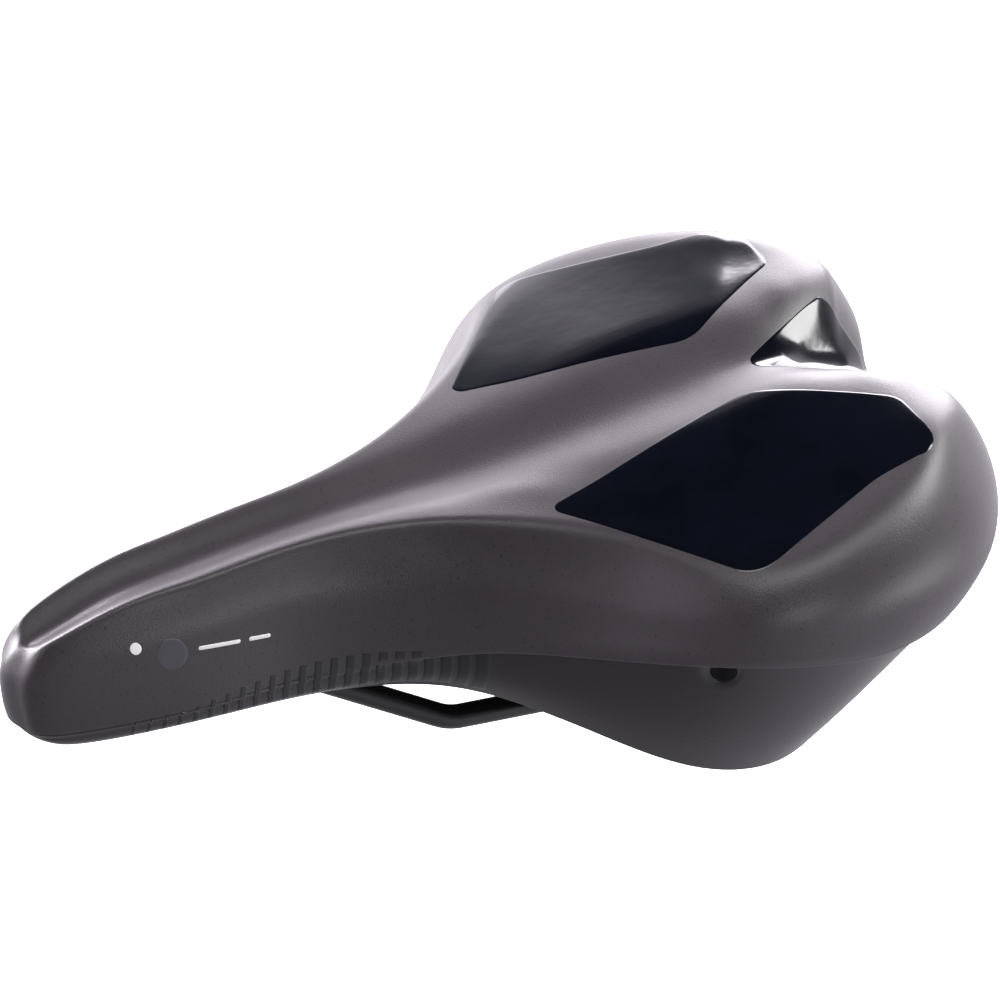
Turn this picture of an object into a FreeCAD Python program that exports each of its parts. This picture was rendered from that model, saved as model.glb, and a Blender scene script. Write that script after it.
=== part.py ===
import FreeCAD, Part
import math
import os

# Bicycle saddle, millimetres.
# +X points to the nose, +Y to the rider's left, +Z up.
# The origin is the middle of the seatpost clamp zone, midway between the two rails, on their axes' plane.

V = FreeCAD.Vector
AXIS_X = V(1, 0, 0)
AXIS_Y = V(0, 1, 0)
AXIS_Z = V(0, 0, 1)

# ---------------------------------------------------------------- driving dimensions

COVER_THICK = 1.6            # moulded upholstery skin
FILM_THICK = 0.5             # gloss panels laid on the skin
FILM_LIFT = 0.05             # glue under the gloss panels
WALL_THICK = 2.2             # base shell and side skirt
SKIN_GAP = 0.3               # glue line between the stacked layers
PAD_EDGE = 3.0               # a memory foam pad reaches this far outside its gloss panel
PAD_FLOOR_Z = 60.5           # height of the pad's sloping floor at its front tip
PAD_RISE_BACK = 10.5         # degrees that the floor climbs towards the rear
PAD_FALL_OUT = 5.0           # degrees that it falls outwards
FOAM_LIP = 0.90              # the foam runs this far down the side towards the seam

RAIL_R = 3.5                 # 7 mm steel rod
RAIL_HALF_SPACING = 22.0
CLAMP_FRONT_X = 37.0
CLAMP_REAR_X = -34.0
RAIL_BEND_R = 16.0
NOSE_BEND_R = 5.4
HINGE_X = 104.0              # axis of the cross rod that joins the rails at the nose
HINGE_Z = 30.0
RAIL_NOSE_Y = 10.5
RAIL_RISE_X = -57.0
RAIL_END_X = -84.0
RAIL_END_Y = 27.0
RAIL_END_Z = 25.0
END_CAP_R = 4.4
END_CAP_GRIP = 3.2
END_CAP_THICK = 1.6

SOCKET_HALF_LENGTH = 14.0    # nose socket and its clip, along X
SOCKET_HALF_WIDTH = 4.8
SOCKET_TOP_Z = 35.6
NOSE_BOSS_R = 4.6
CLIP_BOTTOM_Z = 24.5
HINGE_CLEARANCE = 0.06       # radial running fit of the socket on the cross rod
SOCKET_SCREW_X = 9.2         # from the hinge axis
SOCKET_SCREW_R = 2.0
SOCKET_SCREW_HEAD_R = 3.6
SOCKET_SCREW_HEAD_HIGH = 2.4
SOCKET_SCREW_BITE = 3.2      # thread length in the shell's nose boss
SOCKET_SCREW_RECESS_R = 1.4
SOCKET_SCREW_RECESS_DEEP = 1.6

BRIDGE_X = -69.0             # line of the rear bridge's two suspension bolts
BRIDGE_HALF_LENGTH = 11.5
BRIDGE_HALF_WIDTH = 32.5
BRIDGE_THICK = 3.0
BRIDGE_CORNER_R = 5.0
BRIDGE_LIP_HALF_WIDTH = 17.0
BRIDGE_LIP_THICK = 2.0
BRIDGE_LIP_DROP = 4.5
RAIL_SEAT_DEPTH = 0.6        # the rails are welded this deep into the bridge
BOLT_Y = 15.0
BOLT_R = 2.5
BOLT_HEAD_R = 4.6
BOLT_HEAD_HIGH = 4.0
BOLT_SOCKET_R = 2.0
BOLT_SOCKET_DEEP = 2.4
STOP_GAP = 0.05              # between the washers and the bridge at rest
WASHER_R = 7.0
WASHER_THICK = 1.2
BUSH_WALL = 1.2
BUSH_FLANGE_R = 8.5
BUSH_FLANGE_THICK = 1.0
BOLT_PLAY = 0.7              # the bolt swings a little in its bush as the saddle tips
PRESS_GAP = 0.02
ELASTOMER_R = 10.5
ELASTOMER_WAIST_R = 8.8
ELASTOMER_BORE_R = 3.6
ELASTOMER_HIGH = 15.0
ELASTOMER_BAND = 2.5         # height of the full-width band at each end
ELASTOMER_CHAMFER = 0.8
CAP_THICK = 1.5
BOSS_R = 9.0
BOSS_TOP_Z = 57.0
INSERT_R = 3.6
INSERT_LONG = 7.0

PLUG_R = 3.2                 # blind plug in the skirt, just under the seam
PLUG_THICK = 1.4
PLUG_RECESS = 0.7
PLUG_STATION = 7.83          # place of the plug along the skirt, in stations
PLUG_SPAN = 0.3              # place of the plug below the seam, in spans of the section

RIB_DEPTH = 4.0              # stiffening ribs under the deck
RIB_THICK = 1.8
RIB_REACH = 0.62             # how far out across the deck they run
RIB_LINES_Y = (9, 27, 45)
RIB_LINES_X = (35, 10, -15, -40)
RIB_FRONT_X = 62.0
RIB_REAR_X = -84.0
RIB_WALL_LOW = 20.0          # the walls that the ribs are trimmed from
RIB_WALL_HIGH = 80.0
RIB_WALL_REACH = 90.0

BRIDGE_BOTTOM = RAIL_END_Z + RAIL_R - RAIL_SEAT_DEPTH
BRIDGE_TOP = BRIDGE_BOTTOM + BRIDGE_THICK
ELASTOMER_BOTTOM = BRIDGE_TOP + BUSH_FLANGE_THICK
CAP_BOTTOM = ELASTOMER_BOTTOM + ELASTOMER_HIGH
BOSS_BOTTOM = CAP_BOTTOM + CAP_THICK
WASHER_BOTTOM = BRIDGE_BOTTOM - STOP_GAP - WASHER_THICK

# ---------------------------------------------------------------- body form
# Four loops run round the left half, from the front of the nose to the middle of the rear notch.
# Each row is one station: x, y, z.

SHOULDER = [
    (156.5, 0, 35.5), (155, 5, 36.5), (148, 10.2, 41.2), (112, 14, 51.5), (78, 15.5, 58.5),
    (54, 21.5, 61), (32, 34.5, 60), (5, 59, 63), (-17, 84, 69), (-47, 88, 78),
    (-76, 77, 85), (-95, 60, 86), (-105, 42, 86), (-99, 20, 81), (-94, 0, 75),
]
GIRTH = [
    (162, 0, 27), (159.4, 6.6, 27.3), (151, 13.2, 29.3), (115, 20.3, 37), (82, 22.5, 42),
    (55, 30.5, 44.5), (34, 43, 46), (9.5, 64.5, 52), (-17, 92, 57), (-52, 97.5, 60),
    (-84, 87.5, 59), (-106, 67.5, 61), (-113, 42.5, 68), (-107, 19, 73), (-102, 0, 69),
]
SEAM = [
    (158.5, 0, 12.5), (155.8, 6.6, 12.2), (147, 12.4, 12.6), (114, 20, 18), (84, 22.5, 23),
    (56, 31, 29), (33, 44, 35), (9, 67, 41.5), (-17, 91, 48.5), (-50, 94, 46),
    (-79, 82, 42.5), (-99.5, 63.5, 42), (-107, 42, 43), (-102, 18, 46), (-98, 0, 47),
]
HEM = [
    (151.5, 0, 6), (149.2, 5.8, 6), (138.5, 11.6, 7.5), (110, 18, 12.5), (82, 21.5, 16.5),
    (56, 26.5, 18), (33, 35, 15.5), (10, 53, 10), (-16, 68, 1.5), (-45, 69, -1),
    (-69, 57, 8), (-86, 44, 18), (-93, 29, 25), (-92, 14, 31), (-91, 0, 33),
]
SPINE_X = [140, 138, 132, 110, 78, 52, 30, 8, -14, -38, -56, -68, -73, -76, -78]
STATIONS = len(SEAM) - 1

# Top surface: x, channel depth line z, ridge half width, ridge z, outer half width, outer z.
TOP_PROFILE = [
    (165, 30, 7, 31, 10, 30), (150, 37, 10, 41, 12, 40), (130, 46, 11.5, 50, 13, 49.5),
    (110, 51, 12, 54.5, 14, 54), (90, 55.5, 12.5, 59, 15, 58.5), (70, 59, 13.5, 62.5, 18, 62),
    (50, 61.5, 16, 65.5, 27, 66), (30, 64, 19, 68.5, 42, 68.5), (10, 67.5, 20, 72.5, 66, 69.5),
    (-10, 71.5, 19.5, 77.5, 86, 70), (-30, 76, 18.5, 83, 92, 73.5), (-50, 80.5, 18.5, 87.5, 88, 79.5),
    (-70, 82, 21.5, 91, 80, 86), (-90, 76, 30, 91, 68, 91.5), (-110, 68, 46, 88, 60, 88),
]
TOP_ROWS = (-0.22, 0.0, 0.22, 0.42, 0.60, 0.76, 0.90)

# Deck of the base shell, one value per station: how far inside the girth its corner stands, and its height.
DECK_INSET = [9, 6, 5, 4.6, 4.4, 6, 8, 10, 13, 14, 14, 14, 14, 13, 12]
DECK_CORNER_Z = [25, 26, 29, 37, 43, 46, 48, 50, 52, 54, 54, 52, 51, 52, 53]
DECK_DEPTH = [(165, 9), (100, 9.5), (40, 14), (-20, 20), (-110, 24)]    # x, depth under the channel

# Gloss panels, plan outline of the left one with its corner radii, and the rear one.
PANEL_CORNERS = [
    (17.5, 32.5, 3), (-21.5, 84.5, 9), (-64, 69, 30), (-86, 65, 8), (-85.5, 40, 6), (-49.5, 15.5, 12),
]
REAR_PANEL_CORNERS = [
    (-57, 0, 4), (-95.5, 25, 3.5), (-101.5, 11, 5), (-99, 0, 20), (-101.5, -11, 5), (-95.5, -25, 3.5),
]

SAME_WAY = 1                 # ruled surfaces keep both edges in one direction
ALONG = 3                    # surface samples per station
ACROSS = 2                   # surface samples per span of a cross section


# ---------------------------------------------------------------- free-form surfaces

def hermite(table, x, column):
    """Smooth interpolation down a table whose first column falls."""
    rows = sorted(table)
    x = min(max(x, rows[0][0]), rows[-1][0])
    i = 0
    while i < len(rows) - 2 and x > rows[i + 1][0]:
        i += 1

    def slope(k):
        a = rows[max(k - 1, 0)]
        b = rows[min(k + 1, len(rows) - 1)]
        return (b[column] - a[column]) / (b[0] - a[0])

    width = rows[i + 1][0] - rows[i][0]
    t = (x - rows[i][0]) / width
    p, q = rows[i][column], rows[i + 1][column]
    return (
        (2 * t**3 - 3 * t**2 + 1) * p
        + (t**3 - 2 * t**2 + t) * width * slope(i)
        + (3 * t**2 - 2 * t**3) * q
        + (t**3 - t**2) * width * slope(i + 1)
    )


def top_z(x, y):
    """Height of the seat: a channel between two ridges, then a slope out to the shoulder."""
    y = abs(y)
    channel, ridge_y, ridge_z, outer_y, outer_z = (hermite(TOP_PROFILE, x, k) for k in range(1, 6))
    if y < ridge_y:
        return channel + (ridge_z - channel) * (0.5 - 0.5 * math.cos(math.pi * y / ridge_y))
    reach = min((y - ridge_y) / (outer_y - ridge_y), 1.6)
    return ridge_z + (outer_z - ridge_z) * reach


def closed_loop(stations):
    """Periodic curve through the left stations and their mirror images; station k is at parameter k."""
    points = [V(*p) for p in stations]
    points += [V(p[0], -p[1], p[2]) for p in stations[-2:0:-1]]
    curve = Part.BSplineCurve()
    curve.interpolate(Points=points, PeriodicFlag=True, Parameters=[float(k) for k in range(len(points) + 1)])
    return curve


LOOPS = {
    "spine": closed_loop([(x, 0, 0) for x in SPINE_X]),
    "shoulder": closed_loop(SHOULDER),
    "girth": closed_loop(GIRTH),
    "seam": closed_loop(SEAM),
    "hem": closed_loop(HEM),
}
DECK_TABLE = [(-k, inset, z) for k, (inset, z) in enumerate(zip(DECK_INSET, DECK_CORNER_Z))]


def on_loop(name, s):
    return LOOPS[name].value(s % (2 * STATIONS))


def blend(a, b, t):
    return a + (b - a) * t


def outward(s, amount):
    """Horizontal vector pointing out of the saddle at station s."""
    girth = on_loop("girth", s)
    ahead, behind = on_loop("girth", s + 0.2), on_loop("girth", s - 0.2)
    along = V(ahead.x - behind.x, ahead.y - behind.y, 0)
    out = AXIS_Z.cross(along)
    if out.x * (girth.x - on_loop("spine", s).x) + out.y * girth.y < 0:
        out = out * -1
    out.normalize()
    return out * amount


def spline_point(controls, v):
    """Point at v, in spans, on a uniform cubic B-spline."""
    i = min(int(v), len(controls) - 4)
    t = v - i
    a, b, c, d = controls[i:i + 4]
    return (
        a * ((1 - t)**3) + b * (3 * t**3 - 6 * t**2 + 4) + c * (3 * t**2 + 3 * t + 1 - 3 * t**3) + d * t**3
    ) * (1 / 6)


def skin_controls(s):
    """Cross section of the padded top, from the channel over the ridge and shoulder to the seam."""
    spine, shoulder = on_loop("spine", s), on_loop("shoulder", s)
    girth, seam = on_loop("girth", s), on_loop("seam", s)
    rows = []
    for f in TOP_ROWS:
        p = blend(spine, shoulder, f)
        rows.append(V(p.x, p.y, top_z(p.x, p.y)))
    brow = blend(shoulder, girth, 0.55) + V((girth.x - shoulder.x) * 0.25, (girth.y - shoulder.y) * 0.25, 0)
    cheek = blend(girth, seam, 0.55) + outward(s, 1.2)
    rows += [shoulder, brow, girth, cheek, seam, seam * 2 - cheek]
    return rows


def deck_controls(s, sink=0.0):
    """Cross section of the base shell: flat deck, corner, then a wall down to the seam; sink moves it inwards."""
    spine, girth, seam = on_loop("spine", s), on_loop("girth", s), on_loop("seam", s)
    station = s % (2 * STATIONS)
    station = min(station, 2 * STATIONS - station)
    inset = hermite(DECK_TABLE, -station, 1)
    corner_z = hermite(DECK_TABLE, -station, 2)
    crest = V(spine.x, 0, top_z(spine.x, 0) - hermite(DECK_DEPTH, spine.x, 1))
    foot = seam - outward(s, COVER_THICK + 2 * SKIN_GAP)
    corner = V(girth.x, girth.y, corner_z) - outward(s, inset)
    flank = blend(corner, foot, 0.5) + outward(s, 0.25 * inset)
    deck = [blend(crest, corner, f) - V(0, 0, sink) for f in (-0.3, 0.0, 0.3, 0.62, 0.88)]
    deck[0].z = deck[1].z
    wall = [corner - V(0, 0, 0.8 * sink) - outward(s, 0.6 * sink), flank - outward(s, sink), foot - outward(s, sink)]
    return deck + wall + [wall[2] * 2 - wall[1]]


def deck_inner_controls(s):
    return deck_controls(s, WALL_THICK)


def deck_glue_controls(s):
    return deck_controls(s, -SKIN_GAP)


def rib_root_controls(s):
    return deck_controls(s, 0.5 * WALL_THICK)


def rib_tip_controls(s):
    return deck_controls(s, WALL_THICK + RIB_DEPTH)


def skirt_controls(s, wall=0.0):
    """Cross section of the side skirt, from the seam down to its hem; wall moves it inwards."""
    seam, hem = on_loop("seam", s), on_loop("hem", s)
    top = seam - outward(s, 1.0)
    swell = outward(s, 1.8)
    high = blend(top, hem, 0.35) + swell
    low = blend(top, hem, 0.75) + swell
    rows = [top * 2 - high, top, high, low, hem, hem * 2 - low]
    return [row - outward(s, wall) for row in rows]


def skirt_inner_controls(s):
    return skirt_controls(s, WALL_THICK)


def surface_point(controls, s, v, depth):
    """Point at (s, v), moved inwards by depth along the surface normal."""
    here = spline_point(controls(s), v)
    if not depth:
        return here
    step = 0.05
    last = len(controls(s)) - 3 - step
    w = min(max(v, 0.3), last)          # the two directions line up at the ends of the spine
    along = spline_point(controls(s + step), w) - spline_point(controls(s - step), w)
    across = spline_point(controls(s), w + step) - spline_point(controls(s), w - step)
    normal = across.cross(along)
    normal.normalize()
    return here - normal * depth


def grid(controls, depth, reach=1.0):
    """Rows of points over the left half; reach is the part of the section that is used."""
    spans = (len(controls(0)) - 3) * reach
    columns = STATIONS * ALONG
    count = int(spans * ACROSS + 0.5)
    rows = []
    for i in range(columns + 1):
        s = i / ALONG
        row = [surface_point(controls, s, spans * j / count, depth) for j in range(count + 1)]
        if i in (0, columns):
            row = [V(p.x, 0, p.z) for p in row]
        rows.append(row)
    return rows


def surface_through(points):
    surface = Part.BSplineSurface()
    surface.interpolate(points)
    return surface


def mirrored(shape):
    return shape.mirror(V(0, 0, 0), AXIS_Y)


def closed_solid(left_faces):
    """Solid sewn from the left half's faces and their mirror images."""
    skin = Part.makeCompound(left_faces + [mirrored(f) for f in left_faces])
    skin.sewShape()
    solid = Part.Solid(skin.Shells[0])
    if solid.Volume < 0:
        solid.reverse()
    return solid


def layer(outer, inner, open_centre=False):
    """Closed solid between two grids; open_centre also walls the edge nearest the spine."""
    if not open_centre:
        for row in outer + inner:
            row[0].y = 0
    surfaces = [surface_through(outer), surface_through(inner)]
    faces = [surface.toShape() for surface in surfaces]
    for k in ([1, 0] if open_centre else [1]):
        rims = [surface.vIso(surface.bounds()[2 + k]).toShape() for surface in surfaces]
        faces.append(Part.makeRuledSurface(rims[0], rims[1], SAME_WAY))
    return closed_solid(faces)


# ---------------------------------------------------------------- plain solids

def cylinder(radius, height, base, direction=AXIS_Z):
    return Part.makeCylinder(radius, height, base, direction)


def box(x0, x1, y0, y1, z0, z1):
    return Part.makeBox(x1 - x0, y1 - y0, z1 - z0, V(x0, y0, z0))


def pair(shape):
    """The shape and its mirror image, as two separate solids."""
    return Part.makeCompound([shape, mirrored(shape)])


def rounded_path(points, radii):
    """Wire of straight runs joined by tangent arcs; radii belongs to the inner points."""
    edges = []
    start = points[0]
    for before, corner, after, radius in zip(points, points[1:], points[2:], radii):
        to_before, to_after = before - corner, after - corner
        to_before.normalize()
        to_after.normalize()
        half = to_before.getAngle(to_after) / 2
        reach = radius / math.tan(half)
        first, last = corner + to_before * reach, corner + to_after * reach
        bisector = to_before + to_after
        bisector.normalize()
        middle = corner + bisector * (radius / math.sin(half) - radius)
        edges.append(Part.LineSegment(start, first).toShape())
        edges.append(Part.Arc(first, middle, last).toShape())
        start = last
    edges.append(Part.LineSegment(start, points[-1]).toShape())
    return Part.Wire(edges)


def rounded_outline(corners):
    """Closed flat wire with rounded corners; each corner is x, y, radius."""
    points = [V(x, y, 0) for x, y, _ in corners]
    edges = []
    ends = []
    for i, (_, _, radius) in enumerate(corners):
        corner = points[i]
        to_before, to_after = points[i - 1] - corner, points[(i + 1) % len(points)] - corner
        to_before.normalize()
        to_after.normalize()
        half = to_before.getAngle(to_after) / 2
        reach = radius / math.tan(half)
        bisector = to_before + to_after
        bisector.normalize()
        ends.append((
            corner + to_before * reach,
            corner + bisector * (radius / math.sin(half) - radius),
            corner + to_after * reach,
        ))
    for i, (first, middle, last) in enumerate(ends):
        edges.append(Part.Arc(first, middle, last).toShape())
        following = ends[(i + 1) % len(ends)][0]
        edges.append(Part.LineSegment(last, following).toShape())
    return Part.Wire(edges)


def panel_block(corners, grow=0.0):
    """Tall upright block with the outline of a panel, grown outwards by grow."""
    face = Part.Face(rounded_outline(corners))
    if grow:
        face = face.makeOffset2D(grow)
    return face.extrude(V(0, 0, 120))


def pad_block(grow):
    """Block with a sloping floor that a memory foam pad fills."""
    floor = box(-200, 200, -200, 200, 0, 200)
    floor.rotate(V(0, 0, 0), AXIS_Y, PAD_RISE_BACK)
    floor.rotate(V(0, 0, 0), AXIS_X, -PAD_FALL_OUT)
    tip_x, tip_y, _ = PANEL_CORNERS[0]
    floor.translate(V(tip_x, tip_y, PAD_FLOOR_Z))
    return panel_block(PANEL_CORNERS, grow).common(floor)


def tube(outer_r, inner_r, height, base, direction=AXIS_Z):
    return cylinder(outer_r, height, base, direction).cut(cylinder(inner_r, height, base, direction))


def revolved(profile, centre):
    """Solid of revolution about the upright axis through centre; profile rows are radius, z."""
    points = [V(r, 0, z) for r, z in profile]
    face = Part.Face(Part.makePolygon(points + points[:1]))
    solid = face.revolve(V(0, 0, 0), AXIS_Z, 360)
    solid.translate(centre)
    return solid


nodes = {}

# ---------------------------------------------------------------- padded top

nodes["top_cover"] = layer(grid(skin_controls, 0), grid(skin_controls, COVER_THICK))

foam = layer(
    grid(skin_controls, COVER_THICK + SKIN_GAP, FOAM_LIP),
    grid(deck_glue_controls, 0, FOAM_LIP),
)
memory_pad = pad_block(PAD_EDGE - SKIN_GAP).common(foam)
pocket = pad_block(PAD_EDGE)
nodes["foam_core"] = foam.cut(pocket).cut(mirrored(pocket))
nodes["memory_pad_left"] = memory_pad
nodes["memory_pad_right"] = mirrored(memory_pad)

film = layer(
    grid(skin_controls, -FILM_LIFT - FILM_THICK, FOAM_LIP),
    grid(skin_controls, -FILM_LIFT, FOAM_LIP),
)
gloss_panel = panel_block(PANEL_CORNERS).common(film)
nodes["gloss_panel_left"] = gloss_panel
nodes["gloss_panel_right"] = mirrored(gloss_panel)
nodes["rear_panel"] = panel_block(REAR_PANEL_CORNERS).common(film)

# ---------------------------------------------------------------- base shell and skirt

shell = layer(grid(deck_controls, 0), grid(deck_inner_controls, 0))
nose_bosses = []
for side in (-1, 1):
    x = HINGE_X + side * SOCKET_SCREW_X
    deck_top = top_z(x, 0) - hermite(DECK_DEPTH, x, 1)
    boss_high = deck_top - 0.5 * WALL_THICK - SOCKET_TOP_Z
    nose_bosses.append(cylinder(NOSE_BOSS_R, boss_high, V(x, 0, SOCKET_TOP_Z)))
rear_boss = cylinder(BOSS_R, BOSS_TOP_Z - BOSS_BOTTOM, V(BRIDGE_X, BOLT_Y, BOSS_BOTTOM))

shell = shell.fuse(nose_bosses + [rear_boss, mirrored(rear_boss)])
rib_zone = layer(grid(rib_root_controls, 0, RIB_REACH), grid(rib_tip_controls, 0, RIB_REACH))
half_rib = 0.5 * RIB_THICK
rib_walls = [
    box(RIB_REAR_X, RIB_FRONT_X, y - half_rib, y + half_rib, RIB_WALL_LOW, RIB_WALL_HIGH) for y in RIB_LINES_Y
]
rib_walls += [mirrored(wall) for wall in rib_walls]
rib_walls += [
    box(x - half_rib, x + half_rib, -RIB_WALL_REACH, RIB_WALL_REACH, RIB_WALL_LOW, RIB_WALL_HIGH)
    for x in RIB_LINES_X
]
for wall in rib_walls:
    shell = shell.fuse(wall.common(rib_zone))
nodes["base_shell"] = shell

nodes["side_skirt"] = layer(
    grid(skirt_controls, 0),
    grid(skirt_inner_controls, 0),
    open_centre=True,
)

# ---------------------------------------------------------------- rails

left_rail = [
    V(RAIL_END_X, RAIL_END_Y, RAIL_END_Z),
    V(RAIL_RISE_X, RAIL_END_Y, RAIL_END_Z),
    V(CLAMP_REAR_X, RAIL_HALF_SPACING, 0),
    V(CLAMP_FRONT_X, RAIL_HALF_SPACING, 0),
    V(HINGE_X, RAIL_NOSE_Y, HINGE_Z),
]
right_rail = [V(p.x, -p.y, p.z) for p in reversed(left_rail)]
left_radii = [RAIL_BEND_R, RAIL_BEND_R, RAIL_BEND_R, NOSE_BEND_R]
rail_path = rounded_path(left_rail + right_rail, left_radii + left_radii[::-1])
rail_section = Part.Wire(Part.makeCircle(RAIL_R, left_rail[0], AXIS_X))
rail_loop = rail_path.makePipeShell([rail_section], True, True)
nodes["rail_loop"] = rail_loop
cap_base = V(RAIL_END_X - END_CAP_THICK, RAIL_END_Y, RAIL_END_Z)
end_cap = cylinder(END_CAP_R, END_CAP_THICK + END_CAP_GRIP, cap_base, AXIS_X)
end_cap = end_cap.cut(cylinder(RAIL_R + PRESS_GAP, END_CAP_GRIP + 1, left_rail[0], AXIS_X))
nodes["rail_end_caps"] = pair(end_cap)

# ---------------------------------------------------------------- nose hinge

hinge_bore = cylinder(RAIL_R + HINGE_CLEARANCE, 40, V(HINGE_X, -20, HINGE_Z), AXIS_Y)
socket_span = (HINGE_X - SOCKET_HALF_LENGTH, HINGE_X + SOCKET_HALF_LENGTH, -SOCKET_HALF_WIDTH, SOCKET_HALF_WIDTH)
socket = box(*socket_span, HINGE_Z, SOCKET_TOP_Z).cut(hinge_bore)
clip = box(*socket_span, CLIP_BOTTOM_Z, HINGE_Z).cut(hinge_bore)
screws = []
for side in (-1, 1):
    x = HINGE_X + side * SOCKET_SCREW_X
    screw_top = SOCKET_TOP_Z + SOCKET_SCREW_BITE if side < 0 else SOCKET_TOP_Z + 0.5 * SOCKET_SCREW_BITE
    hole = cylinder(SOCKET_SCREW_R + PRESS_GAP, screw_top - CLIP_BOTTOM_Z, V(x, 0, CLIP_BOTTOM_Z))
    socket = socket.cut(hole)
    clip = clip.cut(hole)
    nodes["base_shell"] = nodes["base_shell"].cut(hole)
    head_base = V(x, 0, CLIP_BOTTOM_Z - SOCKET_SCREW_HEAD_HIGH)
    screw = cylinder(SOCKET_SCREW_R, screw_top - CLIP_BOTTOM_Z, V(x, 0, CLIP_BOTTOM_Z))
    screw = screw.fuse(cylinder(SOCKET_SCREW_HEAD_R, SOCKET_SCREW_HEAD_HIGH, head_base))
    screw = screw.cut(cylinder(SOCKET_SCREW_RECESS_R, SOCKET_SCREW_RECESS_DEEP, head_base))
    screws.append(screw)
nodes["nose_socket"] = socket
nodes["nose_clip"] = clip
nodes["nose_clip_screws"] = Part.makeCompound(screws)

# ---------------------------------------------------------------- rear suspension

bolt_axis = V(BRIDGE_X, BOLT_Y, 0)
plate = box(-BRIDGE_HALF_LENGTH, BRIDGE_HALF_LENGTH, -BRIDGE_HALF_WIDTH, BRIDGE_HALF_WIDTH, BRIDGE_BOTTOM, BRIDGE_TOP)
plate.translate(V(BRIDGE_X, 0, 0))
upright = [e for e in plate.Edges if abs(e.tangentAt(e.FirstParameter).z) > 0.9]
plate = plate.makeFillet(BRIDGE_CORNER_R, upright)
for side in (-1, 1):
    lip_edge = BRIDGE_X + side * BRIDGE_HALF_LENGTH
    lip_x = sorted((lip_edge, lip_edge - side * BRIDGE_LIP_THICK))
    plate = plate.fuse(box(
        *lip_x, -BRIDGE_LIP_HALF_WIDTH, BRIDGE_LIP_HALF_WIDTH, BRIDGE_BOTTOM - BRIDGE_LIP_DROP, BRIDGE_BOTTOM,
    ))
plate = plate.removeSplitter()
bush_r = BOLT_R + BOLT_PLAY + BUSH_WALL
bush_hole = cylinder(bush_r + PRESS_GAP, 2 * BRIDGE_THICK, bolt_axis + V(0, 0, BRIDGE_BOTTOM - 1))
plate = plate.cut(bush_hole).cut(mirrored(bush_hole))
nodes["rear_bridge"] = plate.cut(rail_loop)

bush = revolved([
    (BOLT_R + BOLT_PLAY, BRIDGE_BOTTOM), (bush_r, BRIDGE_BOTTOM), (bush_r, BRIDGE_TOP),
    (BUSH_FLANGE_R, BRIDGE_TOP), (BUSH_FLANGE_R, ELASTOMER_BOTTOM), (BOLT_R + BOLT_PLAY, ELASTOMER_BOTTOM),
], bolt_axis)
nodes["bridge_bushes"] = pair(bush)

waist = 0.3 * ELASTOMER_HIGH
elastomer = revolved([
    (ELASTOMER_BORE_R, ELASTOMER_BOTTOM), (ELASTOMER_R - ELASTOMER_CHAMFER, ELASTOMER_BOTTOM),
    (ELASTOMER_R, ELASTOMER_BOTTOM + ELASTOMER_CHAMFER), (ELASTOMER_R, ELASTOMER_BOTTOM + ELASTOMER_BAND),
    (ELASTOMER_WAIST_R, ELASTOMER_BOTTOM + waist), (ELASTOMER_WAIST_R, CAP_BOTTOM - waist),
    (ELASTOMER_R, CAP_BOTTOM - ELASTOMER_BAND), (ELASTOMER_R, CAP_BOTTOM - ELASTOMER_CHAMFER),
    (ELASTOMER_R - ELASTOMER_CHAMFER, CAP_BOTTOM),
    (ELASTOMER_BORE_R, CAP_BOTTOM),
], bolt_axis)
nodes["elastomer_left"] = elastomer
nodes["elastomer_right"] = mirrored(elastomer)
nodes["elastomer_caps"] = pair(tube(ELASTOMER_R, BOLT_R + 0.2, CAP_THICK, bolt_axis + V(0, 0, CAP_BOTTOM)))

insert_base = bolt_axis + V(0, 0, BOSS_BOTTOM)
nodes["bolt_inserts"] = pair(tube(INSERT_R, BOLT_R + PRESS_GAP, INSERT_LONG, insert_base))
insert_hole = cylinder(INSERT_R + PRESS_GAP, INSERT_LONG + PRESS_GAP, insert_base)
nodes["base_shell"] = nodes["base_shell"].cut(insert_hole).cut(mirrored(insert_hole))
nodes["bolt_washers"] = pair(tube(WASHER_R, BOLT_R + PRESS_GAP, WASHER_THICK, bolt_axis + V(0, 0, WASHER_BOTTOM)))

head_base = bolt_axis + V(0, 0, WASHER_BOTTOM - BOLT_HEAD_HIGH)
bolt = cylinder(BOLT_HEAD_R, BOLT_HEAD_HIGH, head_base)
bolt = bolt.fuse(cylinder(BOLT_R, BOSS_BOTTOM + INSERT_LONG - WASHER_BOTTOM, bolt_axis + V(0, 0, WASHER_BOTTOM)))
bolt = bolt.cut(cylinder(BOLT_SOCKET_R, BOLT_SOCKET_DEEP, head_base))
nodes["suspension_bolts"] = pair(bolt)

# ---------------------------------------------------------------- skirt plugs

plug_centre = spline_point(skirt_controls(PLUG_STATION), PLUG_SPAN)
plug_out = outward(PLUG_STATION, 1)
plug = cylinder(PLUG_R, PLUG_THICK, plug_centre - plug_out * (PLUG_THICK + PLUG_RECESS), plug_out)
plug_hole = cylinder(PLUG_R + PRESS_GAP, 12, plug_centre - plug_out * 6, plug_out)
nodes["side_plugs"] = pair(plug)
nodes["side_skirt"] = nodes["side_skirt"].cut(plug_hole).cut(mirrored(plug_hole))

os.makedirs("parts", exist_ok=True)
for name, shape in nodes.items():
    print(name, shape.isValid(), round(shape.Volume), len(shape.Solids), len(shape.Faces))
    shape.exportStep("parts/" + name + ".step")
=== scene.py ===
import math

import bmesh
import bpy
import numpy as np
from mathutils import Matrix, Vector
from mathutils.bvhtree import BVHTree


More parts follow.
